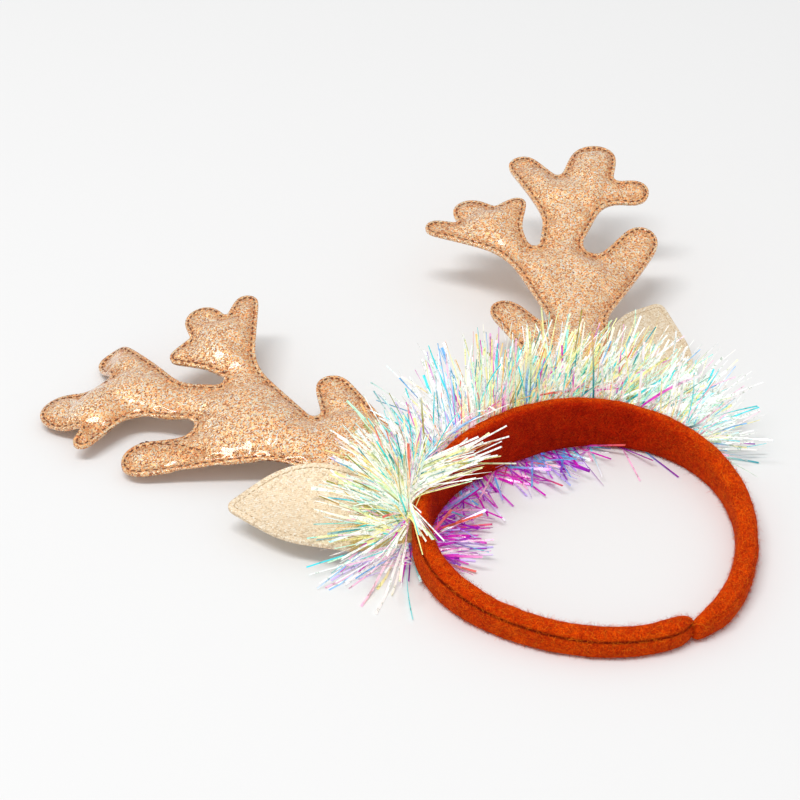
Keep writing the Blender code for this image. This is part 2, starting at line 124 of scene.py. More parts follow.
# The antlers' stuffing, in metres where it is a distance
RIM_HELD = 0.0016
OUTLINE_PITCH = 0.0012
STUFFING_LIMIT = 0.0024
STUFFING_STEPS = 20
LOWEST_CLOTH = 0.0006
CLOTH = {
    "quality": 5,
    "mass": 0.15,
    "tension_stiffness": 25,
    "compression_stiffness": 25,
    "shear_stiffness": 12,
    "bending_stiffness": 0.08,
    "use_pressure": True,
    "uniform_pressure_force": 3.0,
    "vertex_group_mass": "rim",
    "shrink_min": -0.03,
}

# The ears' rounded ends curl over towards the band
EAR_ROOT = (62.9, 35.6)
EAR_HEADINGS = {"left": math.radians(50.0), "right": math.radians(38.0)}
EAR_CURL = (
    # across the leaf, out from the band
    (-17.0, 23.6),
    (-4.5, 22.5),
    (8.0, 21.6),
    (12.5, 20.0),
    (16.0, 14.0),
    (17.5, 8.0),
)
CURL_HEIGHT = 1.3
CURL_EDGE = 0.9
CURL_FADE = 9.0
CURL_SEAM_IN = 1.8
UPPER_FACE = 0.3
# The left ear's direction out of the burst of strips, in degrees of sway
EAR_SWAY = 6.0
EAR_CLEARANCE = 30.0
EAR_CLEARANCE_LIFT = 30.0
EAR_SPREAD = 0.6

# The tinsel's core round the band, and where it turns under, in millimetres
CORE_OUT = BAND_THICKNESS / 2 + 2.1
CORE_BELOW_EDGE = 4.4
LOWER_CORE_HEIGHT = 1.8
GARLAND_HALF_ANGLE = math.radians(70.0)
LEFT_BURST = math.radians(57.5)
TURN_WIDTH = math.radians(3.0)
MIDDLE_SHARES = (0.15, 0.85)

STRIP_COLOURS = {
    "white": (0.96, 0.97, 0.95),
    "lemon": (0.95, 0.92, 0.42),
    "mint": (0.62, 0.95, 0.74),
    "aqua": (0.08, 0.74, 0.84),
    "teal": (0.01, 0.30, 0.36),
    "blue": (0.22, 0.50, 0.92),
    "lilac": (0.66, 0.50, 0.92),
    "pink": (0.95, 0.55, 0.72),
    "magenta": (0.72, 0.03, 0.52),
    "purple": (0.34, 0.02, 0.46),
    "apricot": (0.95, 0.62, 0.25),
    "coral": (0.80, 0.16, 0.10),
    "olive": (0.34, 0.31, 0.05),
}
# How often each colour turns up along a stretch of the garland
STRIP_MIXES = {
    "crown": {
        "white": 42, "lemon": 17, "mint": 9, "aqua": 9, "teal": 5, "blue": 2,
        "pink": 3, "magenta": 2, "apricot": 8, "coral": 1, "olive": 2,
    },
    "bend": {
        "white": 62, "lemon": 3, "mint": 2, "aqua": 9, "teal": 2, "blue": 5,
        "lilac": 4, "pink": 7, "magenta": 4, "coral": 3,
    },
    "left_end": {
        "white": 54, "lemon": 16, "mint": 9, "aqua": 5, "teal": 6,
        "pink": 1, "apricot": 4, "olive": 4, "coral": 1,
    },
    "right_end": {
        "white": 72, "lemon": 7, "mint": 4, "aqua": 10, "teal": 2, "blue": 3, "pink": 2,
    },
    "low": {
        "white": 57, "lemon": 5, "mint": 2, "aqua": 4, "teal": 1, "blue": 4,
        "lilac": 10, "pink": 11, "magenta": 6,
    },
    "inner": {
        "white": 7, "aqua": 3, "blue": 7, "lilac": 12, "pink": 9,
        "magenta": 34, "purple": 20, "coral": 8,
    },
    "edge": {
        "white": 22, "lemon": 10, "pink": 22, "magenta": 22,
        "purple": 4, "coral": 12, "apricot": 10,
    },
}
# Where the crown's mix gives way to others, in degrees from the crown
MIX_SPREAD = 7
BEND_BELOW = -12
LEFT_END_BELOW = -46
RIGHT_END_ABOVE = 50
# Strips that rise less than this take the low mix at the left end
LOW_MIX_BELOW = 0.12
# A strip's two colours meet along this share of it
TINT_TURN = (0.2, 1.1)
TINT_SHARPNESS = 9

# Strips of the tinsel, by the stretch of the core that they grow from
STRIP_ROWS = (
    # stretch, mix, count, lift, lift spread, sway spread, shortest, longest
    ("upper", "crown", 1250, 50.0, 21.0, 24.0, 15.0, 47.0),
    ("lower", "low", 420, 9.0, 9.0, 30.0, 18.0, 36.0),
    ("middle", "crown", 520, 18.0, 20.0, 34.0, 14.0, 31.0),
    ("left_turn", "left_end", 330, 16.0, 32.0, 52.0, 18.0, 48.0),
    ("right_turn", "right_end", 240, 12.0, 22.0, 36.0, 16.0, 40.0),
)
STRIP_SEED = 40
STRIP_STEPS = 9
STRIP_LIFTS = (-12, 104)
LENGTH_SPREAD = (1.7, 1.9)
MOST_SWAY = 86
LOWER_COMBED = 0.4
STRIP_BOW = 0.10
STRIP_SAG = 0.05
TURN_SCATTER = 0.8
STRIP_TWIST = 1.6
NARROWEST = 0.40
WIDTH_SPREAD = 0.82
WIDTH_SKEW = 1.8
LOWEST_STRIP = 0.25
LOWEST_SPREAD = 0.5
FLOOR_SHARE = 0.9
# The share of the upper strips up to an angle from the crown, and how
# far they are combed along the band there
GARLAND_DENSITY = (
    # degrees from the crown, share so far
    (-60.0, 0.0),
    (-46.0, 0.23),
    (-14.0, 0.38),
    (48.0, 0.87),
    (70.0, 1.0),
)
GARLAND_COMBED = (
    # degrees from the crown, degrees of sway
    (-70.0, -10.0),
    (-40.0, 4.0),
    (-15.0, 24.0),
    (5.0, 52.0),
    (30.0, 60.0),
    (70.0, 48.0),
)

# Strips that lean in over the band's top edge
OVER_ROWS = (
    # count, mix, from, to, lean along the band, lean inwards, rise, shortest, longest
    (72, "left_end", -61.0, -44.0, 0.62, 0.80, 8.5, 16.0, 41.0),
    (26, "bend", -50.0, -24.0, 0.85, 0.20, 7.5, 16.0, 32.0),
    (20, "left_end", -63.0, -57.0, -0.80, 0.30, 6.0, 14.0, 34.0),
    (56, "edge", -46.0, 40.0, 0.95, -0.02, 4.8, 9.0, 20.0),
    (2, "right_end", -14.0, 22.0, 0.05, 0.35, 8.5, 10.0, 12.0),
)
OVER_SEED = 91
OVER_STEPS = 12
OVER_DRIFT = 0.20
OVER_LEAN_SPREAD = 0.10
OVER_CLIMB = (-1.5, 6.0)
OVER_UPRIGHT = 0.16
OVER_STAND_OFF = 0.6
OVER_ARCH = 2.6
OVER_TWIST = 1.3
OVER_WIDTHS = (0.35, 0.95)

# Strips that slip under the crown and come out inside the hoop
UNDER_ROWS = (
    # count, from, to, shortest, longest, curl
    (84, -66.0, -49.0, 19.0, 37.0, 0.55),
    (110, -46.0, 30.0, 17.0, 36.0, 0.35),
    (8, 30.0, 56.0, 15.0, 34.0, 0.20),
)
UNDER_SEED = 77
UNDER_STEPS = 10
UNDER_ROOT_HEIGHT = 0.8
UNDER_SWAY = 33
UNDER_BAND = 9.5
UNDER_HEIGHT = 0.35
UNDER_TWIST = 1.2
UNDER_TWIST_OVER = 8
UNDER_WIDTHS = (0.5, 1.15)


# Meshes

def only(piece):
    """Select one object alone and make it the active one."""
    bpy.ops.object.select_all(action="DESELECT")
    piece.select_set(True)
    bpy.context.view_layer.objects.active = piece


def added(name, mesh, smooth=True):
    """A new object of a mesh, in the scene and selected."""
    piece = bpy.data.objects.new(name, mesh)
    bpy.context.scene.collection.objects.link(piece)
    only(piece)
    if smooth:
        bpy.ops.object.shade_smooth()
    return piece


def corners_of(piece):
    """The places of a piece's corners, in metres."""
    return np.array([list(vertex.co) for vertex in piece.data.vertices])


def move_corners(piece, corners):
    """Put a piece's corners in new places."""
    piece.data.vertices.foreach_set("co", corners.astype(np.float32).ravel())
    piece.data.update()


def copy_of(name, new_name, fatten=0.0, crease=0.0):
    """A welded copy of a node's mesh, with four-sided faces and firm edges."""
    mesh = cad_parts[name].data.copy()
    mesh.materials.clear()
    piece = added(new_name, mesh, smooth=False)
    bpy.ops.object.mode_set(mode="EDIT")
    bpy.ops.mesh.select_all(action="SELECT")
    bpy.ops.mesh.remove_doubles(threshold=WELD)
    bpy.ops.mesh.customdata_custom_splitnormals_clear()
    bpy.ops.mesh.tris_convert_to_quads(face_threshold=FLAT, shape_threshold=SKEWED)
    bpy.ops.mesh.normals_make_consistent(inside=False)
    bpy.ops.mesh.select_mode(type="EDGE")
    bpy.ops.mesh.select_all(action="DESELECT")
    bpy.ops.mesh.edges_select_sharp(sharpness=SHARP)
    bpy.ops.transform.edge_crease(value=crease)
    bpy.ops.mesh.select_all(action="SELECT")
    bpy.ops.transform.shrink_fatten(value=fatten * MM)
    bpy.ops.mesh.select_mode(type="VERT")
    bpy.ops.object.mode_set(mode="OBJECT")
    bpy.ops.object.shade_smooth()
    return piece


def marked(piece, name, values):
    """Store one number for each corner, for the piece's material."""
    mark = piece.data.attributes.new(name, "FLOAT", "POINT")
    mark.data.foreach_set("value", np.asarray(values, np.float32))


def subdivided(piece, levels):
    """The same piece after rounds of subdivision."""
    only(piece)
    soft = piece.modifiers.new("soft", "SUBSURF")
    soft.levels = soft.render_levels = levels
    bpy.ops.object.modifier_apply(modifier=soft.name)
    return piece


def longest_line(near):
    """The longest chain through corners that have two neighbours each."""
    left = set(near)
    best = []
    while left:
        line = [left.pop()]
        for _ in range(2):
            while True:
                ahead = [spot for spot in near[line[-1]] if spot in left]
                if not ahead:
                    break
                line.append(ahead[0])
                left.discard(ahead[0])
            line.reverse()
        if len(line) > len(best):
            best = line
    return best


def rim_lines(piece):
    """The outline's upper and lower edge as two closed lines of points."""
    shape = bmesh.new()
    shape.from_mesh(piece.data)
    links = {}
    for edge in shape.edges:
        if len(edge.link_faces) != 2 or edge.calc_face_angle() <= SHARP:
            continue
        rim, face = sorted(edge.link_faces, key=lambda face: abs(face.normal.z))
        if abs(rim.normal.z) < RIM_RISE:
            for here, there in (edge.verts, reversed(edge.verts)):
                links.setdefault(here.index, set()).add((there.index, face.normal.z > 0))
    shape.verts.ensure_lookup_table()
    lines = []
    for upper in (True, False):
        near = {
            here: [there for there, up in found if up == upper]
            for here, found in links.items()
        }
        near = {here: found for here, found in near.items() if len(found) == 2}
        lines.append([shape.verts[index].co.copy() for index in longest_line(near)])
    shape.free()
    return lines


def evenly(line, pitch):
    """Points a pitch apart round a closed line, each with its direction."""
    closed = line + line[:1]
    lengths = [0.0]
    for here, there in zip(closed, closed[1:]):
        lengths.append(lengths[-1] + (there - here).length)
    count = max(3, round(lengths[-1] / pitch))
    marks = np.arange(count) * lengths[-1] / count
    along = np.array([list(point) for point in closed])
    spots = np.column_stack([np.interp(marks, lengths, along[:, axis]) for axis in range(3)])
    ahead = np.roll(spots, -1, axis=0) - np.roll(spots, 1, axis=0)
    return [(Vector(spot), Vector(step).normalized()) for spot, step in zip(spots, ahead)]


def depth_inside(piece, lines):
    """Distance of each corner from the outline, in metres."""
    outline = np.array([list(spot) for line in lines for spot, _ in evenly(line, OUTLINE_PITCH)])
    return np.array([
        np.sqrt(((outline - corner) ** 2).sum(1).min()) for corner in corners_of(piece)
    ])


def stuff(piece, lines):
    """Fill a sewn pad by cloth simulation while its rim is held."""
    depth = depth_inside(piece, lines)
    held = piece.vertex_groups.new(name="rim")
    held.add([int(index) for index in np.flatnonzero(depth < RIM_HELD)], 1.0, "REPLACE")
    before = corners_of(piece)
    only(piece)
    cloth = piece.modifiers.new("stuffing", "CLOTH")
    for key, value in CLOTH.items():
        setattr(cloth.settings, key, value)
    cloth.settings.effector_weights.gravity = 0
    cloth.collision_settings.use_collision = False
    cloth.point_cache.frame_start = 1
    cloth.point_cache.frame_end = STUFFING_STEPS
    for step in range(1, STUFFING_STEPS + 1):
        bpy.context.scene.frame_set(step)
    bpy.ops.object.modifier_apply(modifier="stuffing")
    bpy.context.scene.frame_set(1)
    moved = corners_of(piece) - before
    far = np.linalg.norm(moved, axis=1, keepdims=True)
    after = before + moved * np.minimum(1.0, STUFFING_LIMIT / np.maximum(far, 1e-9))
    after[:, 2] = np.maximum(after[:, 2], LOWEST_CLOTH)
    move_corners(piece, after)


def surface_of(piece):
    """A tree of the piece's faces, to find the nearest place on it."""
    return BVHTree.FromObject(piece, bpy.context.evaluated_depsgraph_get())


# Stitches

def one_stitch():
    """A single stitch of thick thread, a little thinner at its two ends."""
    bpy.ops.object.select_all(action="DESELECT")
    bpy.ops.mesh.primitive_cylinder_add(
        vertices=6, radius=0.5, depth=1.0, rotation=(0, math.pi / 2, 0)
    )
    stitch = bpy.context.active_object
    bpy.ops.object.transform_apply(location=False, rotation=True, scale=False)
    bpy.ops.object.mode_set(mode="EDIT")
    for cut in STITCH_CUTS:
        bpy.ops.mesh.select_all(action="SELECT")
        bpy.ops.mesh.bisect(plane_co=(cut, 0, 0), plane_no=(1, 0, 0))
    bpy.ops.object.mode_set(mode="OBJECT")
    corners = corners_of(stitch)
    ends = np.abs(corners[:, 0]) > STITCH_CUTS[0] + 0.1
    corners[ends, 1:] *= STITCH_TAPER
    corners[ends, 2] -= STITCH_DIP
    faces = [tuple(face.vertices) for face in stitch.data.polygons]
    bpy.data.objects.remove(stitch)
    return corners, faces


def inside_plan(spot, loop):
    """Whether a point lies within a closed line, seen from above."""
    crossings = 0
    for here, there in zip(loop, loop[1:] + loop[:1]):
        if (here.y > spot.y) != (there.y > spot.y):
            share = (spot.y - here.y) * (there.x - here.x) / (there.y - here.y)
            crossings += spot.x < here.x + share
    return crossings % 2 == 1


def seam_places(lines, seam_in, pitch):
    """Places along the inside of closed outlines, with their direction."""
    places = []
    for line in lines:
        marks = evenly(line, pitch * MM)
        outline = [spot for spot, _ in marks]
        for spot, along in marks:
            for side in (1, -1):
                inwards = along.cross(Vector((0, 0, 1))) * side
                probe = spot + inwards.normalized() * seam_in * MM
                if inside_plan(probe, outline):
                    break
            places.append((probe, along))
    return places


def sew(name, piece, places, length, width, high):
    """One stitch lying on the piece at each place."""
    template, template_faces = one_stitch()
    tree = surface_of(piece)
    points, faces = [], []
    for probe, along in places:
        near, normal, _, _ = tree.find_nearest(probe)
        across = normal.cross(along).normalized()
        ahead = across.cross(normal).normalized()
        base = len(points)
        for x, y, z in template:
            level = ahead * x * length + across * y * width
            points.append(near + (level + normal * (z * high + high * STITCH_RAISED)) * MM)
        faces += [tuple(base + index for index in face) for face in template_faces]
    mesh = bpy.data.meshes.new(name)
    mesh.from_pydata([tuple(point) for point in points], [], faces)
    return added(name, mesh)


# The band

def unit(vectors):
    """The same vectors, each one long."""
    return vectors / np.maximum(np.linalg.norm(vectors, axis=-1, keepdims=True), 1e-12)


def band_radius(angle):
    """Radius of the band's middle line."""
    splay = np.maximum(0.0, (angle - SPLAY_FROM) / SPLAY_OVER) ** 2
    waves = OVAL * np.cos(2 * angle), WAVE * np.cos(3 * angle)
    return MEAN_RADIUS - waves[0] - waves[1] + TIP_SPLAY * splay


def band_height(angle):
    """Height of the strip: a curve through the crown's, the sides' and the tips'."""
    share = (1 - np.cos(angle)) / 2
    crown = CROWN_HEIGHT * (1 - share) * (1 - 2 * share)
    return crown + 4 * SIDE_HEIGHT * share * (1 - share) + TIP_HEIGHT * share * (2 * share - 1)


def band_lift(angle):
    """How far the lower edge stands off the floor."""
    return CROWN_LIFT * np.maximum(0.0, np.cos(angle)) ** 2


def core_top(angle):
    """Height of the garland's upper core."""
    return band_lift(angle) + band_height(angle) - CORE_BELOW_EDGE


def band_place(angle, outwards):
    """Plan points off the band's middle line, with their outward direction."""
    radius = band_radius(angle)
    slope = (band_radius(angle + SMALL) - band_radius(angle - SMALL)) / (2 * SMALL)
    radial = np.column_stack([np.sin(angle), np.cos(angle)])
    sideways = np.column_stack([np.cos(angle), -np.sin(angle)])
    tangent = unit(radial * slope[:, None] + sideways * radius[:, None])
    out = np.column_stack([-tangent[:, 1], tangent[:, 0]])
    return radial * radius[:, None] + out * outwards, out, tangent


def level_frame(angle):
    """Plan places of the core, with directions out of the band and along it."""
    plan, out, tangent = band_place(angle, CORE_OUT)
    flat = np.zeros((len(angle), 1))
    return plan, np.hstack([out, flat]), np.hstack([tangent, flat])


def around_hoop(points):
    """Angle from the crown, radius, distance outwards and height, in mm."""
    flat = points / MM - np.array(HOOP_CENTRE)
    angle = np.arctan2(flat[:, 0], flat[:, 1])
    radius = np.hypot(flat[:, 0], flat[:, 1])
    return angle, radius, radius - band_radius(angle), flat[:, 2]


def seam_offset(points):
    """Distance of points in metres from the groove of the band's seam, in mm."""
    angle, _, outwards, height = around_hoop(points)
    below = height - band_lift(angle) - band_height(angle) + SEAM_DROP
    beside = outwards - (BAND_THICKNESS / 2 - SEAM_DEPTH)
    return np.hypot(below, np.minimum(beside, 0.0) + np.maximum(beside - SEAM_SLACK, 0.0))


def crease_along_seam(piece):
    """Keep the seam's groove narrow when the felt is smoothed."""
    near = seam_offset(corners_of(piece)) < SEAM_CREASED
    shape = bmesh.new()
    shape.from_mesh(piece.data)
    layers = shape.edges.layers.float
    firm = layers.get("crease_edge") or layers.new("crease_edge")
    for edge in shape.edges:
        if all(near[vertex.index] for vertex in edge.verts):
            edge[firm] = 1.0
    shape.to_mesh(piece.data)
    shape.free()


def shade_inside(points):
    """How deep points lie in the painted shade on the band's inner face inside the crown."""
    angle, _, outwards, _ = around_hoop(points)
    inner = np.clip((-outwards - SHADE_FROM) / SHADE_OVER, 0, 1)
    crown = np.clip((np.cos(angle) + SHADE_COSINE) / SHADE_COSINE_OVER, 0, 1)
    return inner * crown


def fuller(corners):
    """Pad the arms outwards and press the two tips together."""
    angle, radius, outwards, _ = around_hoop(corners)
    outwards = np.clip(outwards / (BAND_THICKNESS / 2), 0.0, 1.0)
    tip = math.pi - angle % (2 * math.pi)
    from_tip = np.abs(tip) * radius
    arm = np.clip((np.abs(angle) - ARM_FROM) / ARM_OVER, 0, 1)
    arm = arm * np.clip(from_tip / ARM_TAPER, 0, 1)
    _, out, tangent = band_place(angle, 0.0)
    push = out * (ARM_PADDING * arm * outwards)[:, None]
    press = np.sign(tip) * TIP_PRESS * np.exp(-(from_tip / TIP_PRESS_REACH) ** 2)
    moved = corners.copy()
    moved[:, :2] += (push + tangent * press[:, None]) * MM
    return moved


def rumple(piece):
    """Soft dents of the padded felt, and marks for painted shade in its seam's groove and inside
    the crown.
    """
    corners = corners_of(piece)
    normals = np.array([list(vertex.normal) for vertex in piece.data.vertices])
    push = np.array([
        noise.noise(Vector(corner) * DENT_SCALE) + 0.5 * noise.noise(Vector(corner) * RIPPLE_SCALE)
        for corner in corners
    ])
    push *= np.clip(corners[:, 2] / DENTS_FROM_FLOOR, 0.0, 1.0)
    moved = fuller(corners) + normals * push[:, None] * DENT_DEPTH
    moved[:, 2] = np.maximum(moved[:, 2], 0.0)
    move_corners(piece, moved)
    angle, _, _, _ = around_hoop(corners)
    faded = np.clip((SEAM_FADED_AT - np.degrees(angle)) / SEAM_FADES_OVER, SEAM_FAINTEST, 1.0)
    marked(piece, "seam", faded * np.exp(-(seam_offset(corners) / SEAM_WIDTH) ** 2))
    marked(piece, "shade", shade_inside(moved))


# Fibres and strips

def ribbons(name, centres, halves, tints=None):
    """One mesh of many ribbons: their middle lines and half widths."""
    count, steps, _ = centres.shape
    sides = np.stack([centres - halves, centres + halves], axis=2)
    start = np.arange(count)[:, None] * steps * 2 + np.arange(steps - 1)[None, :] * 2
    faces = np.stack([start, start + 1, start + 3, start + 2], axis=2).reshape(-1, 4)
    mesh = bpy.data.meshes.new(name)
    mesh.from_pydata(sides.reshape(-1, 3).tolist(), [], faces.tolist())
    if tints is not None:
        colour = mesh.color_attributes.new("tint", "FLOAT_COLOR", "POINT")
        spread = np.repeat(tints.reshape(-1, 3), 2, axis=0)
        full = np.column_stack([spread, np.ones(len(spread))])
        colour.data.foreach_set("color", full.astype(np.float32).ravel())
    return added(name, mesh)


def fuzz(name, piece, count, seed):
    """Loose fibres that lie on a felt piece and stand a little off it."""
    chance = np.random.default_rng(seed)
    mesh = piece.data
    mesh.calc_loop_triangles()
    corners = corners_of(piece)
    triangles = np.array([list(triangle.vertices) for triangle in mesh.loop_triangles])
    a, b, c = (corners[triangles[:, index]] for index in range(3))
    normals = np.cross(b - a, c - a)
    area = np.linalg.norm(normals, axis=1)
    picked = chance.choice(len(triangles), count, p=area / area.sum())
    u, v = chance.random((2, count, 1))
    over = u + v > 1
    u, v = np.where(over, 1 - u, u), np.where(over, 1 - v, v)
    roots = a[picked] + u * (b[picked] - a[picked]) + v * (c[picked] - a[picked])
    out = unit(normals[picked])
    along = chance.normal(size=(count, 3))
    along = unit(along - out * (along * out).sum(1, keepdims=True))
    side = np.cross(out, along)
    length = chance.uniform(*FIBRE_LENGTHS, (count, 1, 1)) * MM
    share = np.linspace(0, 1, FIBRE_POINTS)[None, :, None]
    curl = chance.normal(0, FIBRE_CURL, (count, 1, 1))
    rise = chance.uniform(*FIBRE_LIFT, (count, 1, 1))
    centres = roots[:, None] + length * (
        along[:, None] * share
        + side[:, None] * curl * share ** 2
        + out[:, None] * rise * np.sin(share * math.pi * FIBRE_ARCH)
    )
    centres[:, :, 2] = np.maximum(centres[:, :, 2], FIBRE_OFF_FLOOR)
    halves = unit(np.cross(np.gradient(centres, axis=1), out[:, None])) * FIBRE_WIDTH * MM / 2
    fibres = ribbons(name, centres, halves * (1 - FIBRE_TAPER * share))
    marked(fibres, "tone", np.repeat(chance.random(count), 2 * FIBRE_POINTS))
    # Painted shade inside the crown, as on the felt
    marked(fibres, "shade", shade_inside(corners_of(fibres)))
    return fibres


def strip_roots(stretch, count, chance):
    """Where the strips of one stretch start, and which way they face."""
    if stretch in ("upper", "middle"):
        degrees, shares = zip(*GARLAND_DENSITY)
        angle = np.radians(np.interp(chance.random(count), shares, degrees))
    elif stretch == "lower":
        angle = chance.uniform(-GARLAND_HALF_ANGLE, GARLAND_HALF_ANGLE, count)
    elif stretch == "left_turn":
        angle = -(LEFT_BURST + TURN_WIDTH * chance.random(count))
    else:
        angle = GARLAND_HALF_ANGLE + TURN_WIDTH * chance.random(count)
    rise = core_top(angle) - LOWER_CORE_HEIGHT
    if stretch == "upper":
        height = core_top(angle)
    elif stretch == "lower":
        height = np.full(count, LOWER_CORE_HEIGHT)
    elif stretch == "middle":
        height = LOWER_CORE_HEIGHT + rise * chance.uniform(*MIDDLE_SHARES, count)
    else:
        height = LOWER_CORE_HEIGHT + rise * chance.random(count)
    plan, out, tangent = level_frame(angle)
    return angle, np.column_stack([plan, height]), out, tangent


def mix_at(mix, angle, chance):
    """The colour mix at each strip: the crown's changes along the garland."""
    degrees = np.degrees(angle) + chance.normal(0, MIX_SPREAD, len(angle))
    names = np.full(len(angle), mix, dtype=object)
    if mix == "crown":
        names[degrees < BEND_BELOW] = "bend"
        names[degrees < LEFT_END_BELOW] = "left_end"
        names[degrees > RIGHT_END_ABOVE] = "right_end"
    return names


def strip_tints(mixes, steps, chance):
    """Each strip turns from one colour to another along its length."""
    count = len(mixes)
    palette = np.array(list(STRIP_COLOURS.values()))
    shares = np.array(
        [[STRIP_MIXES[mix].get(colour, 0) for colour in STRIP_COLOURS] for mix in mixes], float
    )
    so_far = np.cumsum(shares / shares.sum(1, keepdims=True), axis=1)

    def picked():
        number = (so_far < chance.random((count, 1))).sum(1)
        return palette[number.clip(0, len(palette) - 1)][:, None]

    first, second = picked(), picked()
    share = np.linspace(0, 1, steps)[None, :, None]
    turn = chance.uniform(*TINT_TURN, (count, 1, 1))
    blend = 1 / (1 + np.exp(-(share - turn) * TINT_SHARPNESS))
    return first * (1 - blend) + second * blend


def parted(sways, lifts):
    """Part the low strips of the left burst, so that the ear's end shows."""
    beside = sways - EAR_SWAY
    clear = (lifts < EAR_CLEARANCE_LIFT) & (np.abs(beside) < EAR_CLEARANCE)
    aside = EAR_SWAY + np.sign(beside) * (EAR_CLEARANCE + EAR_SPREAD * np.abs(beside))
    return np.where(clear, aside, sways)


def twisted(along, most, chance):
    """Sideways directions of strips that turn about their own line."""
    count, steps, _ = along.shape
    first = unit(np.cross(along, chance.normal(size=(count, 1, 3))))
    second = np.cross(along, first)
    turn = chance.uniform(-most, most, (count, 1, 1)) * np.linspace(0, 1, steps)[None, :, None]
    return first * np.cos(turn) + second * np.sin(turn)


def off_floor(halves, centres):
    """Keep the strips' edges from passing through the floor."""
    limit = centres[:, :, 2] * FLOOR_SHARE
    halves[:, :, 2] = np.clip(halves[:, :, 2], -limit, limit)
    return halves


def strips_of(name, centres, halves, tints):
    """Strips round the hoop, put in the frame in metres."""
    return ribbons(name, (centres + np.array(HOOP_CENTRE)) * MM, halves * MM, tints)


def tinsel_strips(name, stretch, mix, count, lift, lift_spread, sway, shortest, longest, seed):
    """Narrow film strips that fan out of the garland's core."""
    chance = np.random.default_rng(seed)
    turning = stretch.endswith("turn")
    angle, roots, out, tangent = strip_roots(stretch, count, chance)
    lifts = np.radians(np.clip(chance.normal(lift, lift_spread, count), *STRIP_LIFTS))[:, None]
    combed = np.interp(np.degrees(angle), *zip(*GARLAND_COMBED))
    combed = combed * {"lower": LOWER_COMBED}.get(stretch, 0.0 if turning else 1.0)
    sways = np.clip(chance.normal(combed, sway), -MOST_SWAY, MOST_SWAY)
    if stretch == "left_turn":
        sways = parted(sways, np.degrees(lifts)[:, 0])
    sways = np.radians(sways)[:, None]
    level = out * np.cos(sways) + tangent * np.sin(sways)
    direction = unit(level * np.cos(lifts) + UP * np.sin(lifts))
    length = shortest + (longest - shortest) * chance.beta(*LENGTH_SPREAD, (count, 1, 1))
    bend = unit(np.cross(direction, chance.normal(size=(count, 3))))
    bow = chance.normal(0, STRIP_BOW, (count, 1, 1))
    share = np.linspace(0, 1, STRIP_STEPS)[None, :, None]
    path = direction[:, None] * share + bend[:, None] * bow * share ** 2
    centres = roots[:, None] + length * path
    centres[:, :, 2] -= (length * STRIP_SAG * share ** 2)[:, :, 0]
    if turning:
        centres += tangent[:, None] * chance.normal(0, TURN_SCATTER, (count, 1, 1))
    lowest = LOWEST_STRIP + LOWEST_SPREAD * chance.random((count, 1))
    centres[:, :, 2] = np.maximum(centres[:, :, 2], lowest)
    facing = twisted(unit(np.gradient(centres, axis=1)), STRIP_TWIST, chance)
    width = (NARROWEST + WIDTH_SPREAD * chance.random((count, 1, 1)) ** WIDTH_SKEW) / 2
    halves = off_floor(facing * width, centres)
    mixes = mix_at(mix, angle, chance)
    mixes[(direction[:, 2] < LOW_MIX_BELOW) & (mixes == "left_end")] = "low"
    return strips_of(name, centres, halves, strip_tints(mixes, STRIP_STEPS, chance))


def rows_drawn(rows):
    """The number of strips of a table, and each column drawn count times."""
    counts = [row[0] for row in rows]
    columns = zip(*(row[1:] for row in rows))
    return sum(counts), [np.repeat(np.array(column), counts) for column in columns]


def under_strips(name, rows, seed):
    """Strips that slip under the crown and curl up inside the hoop."""
    chance = np.random.default_rng(seed)
    count, (first, last, shortest, longest, curl) = rows_drawn(rows)
    angle = np.radians(first + (last - first) * chance.random(count))
    plan, out, tangent = level_frame(angle)
    roots = np.column_stack([plan, np.full(count, UNDER_ROOT_HEIGHT)])
    sways = np.radians(chance.normal(0, UNDER_SWAY, count))[:, None]
    direction = unit(-out * np.cos(sways) + tangent * np.sin(sways))
    length = (shortest + (longest - shortest) * chance.random(count))[:, None, None]
    share = np.linspace(0, 1, UNDER_STEPS)[None, :, None]
    centres = roots[:, None] + length * direction[:, None] * share
    inside = np.maximum(0.0, length * share - UNDER_BAND)
    curl = (curl * chance.random(count) ** 2)[:, None, None]
    centres[:, :, 2] = UNDER_HEIGHT + (inside * curl)[:, :, 0]
    along = unit(np.gradient(centres, axis=1))
    level = unit(np.cross(along, UP))
    turn = chance.uniform(-UNDER_TWIST, UNDER_TWIST, (count, 1, 1))
    turn = turn * np.clip(inside / UNDER_TWIST_OVER, 0, 1)
    width = chance.uniform(*UNDER_WIDTHS, (count, 1, 1)) / 2
    halves = (level * np.cos(turn) + np.cross(along, level) * np.sin(turn)) * width
    tints = strip_tints(np.full(count, "inner"), UNDER_STEPS, chance)
    return strips_of(name, centres, off_floor(halves, centres), tints)


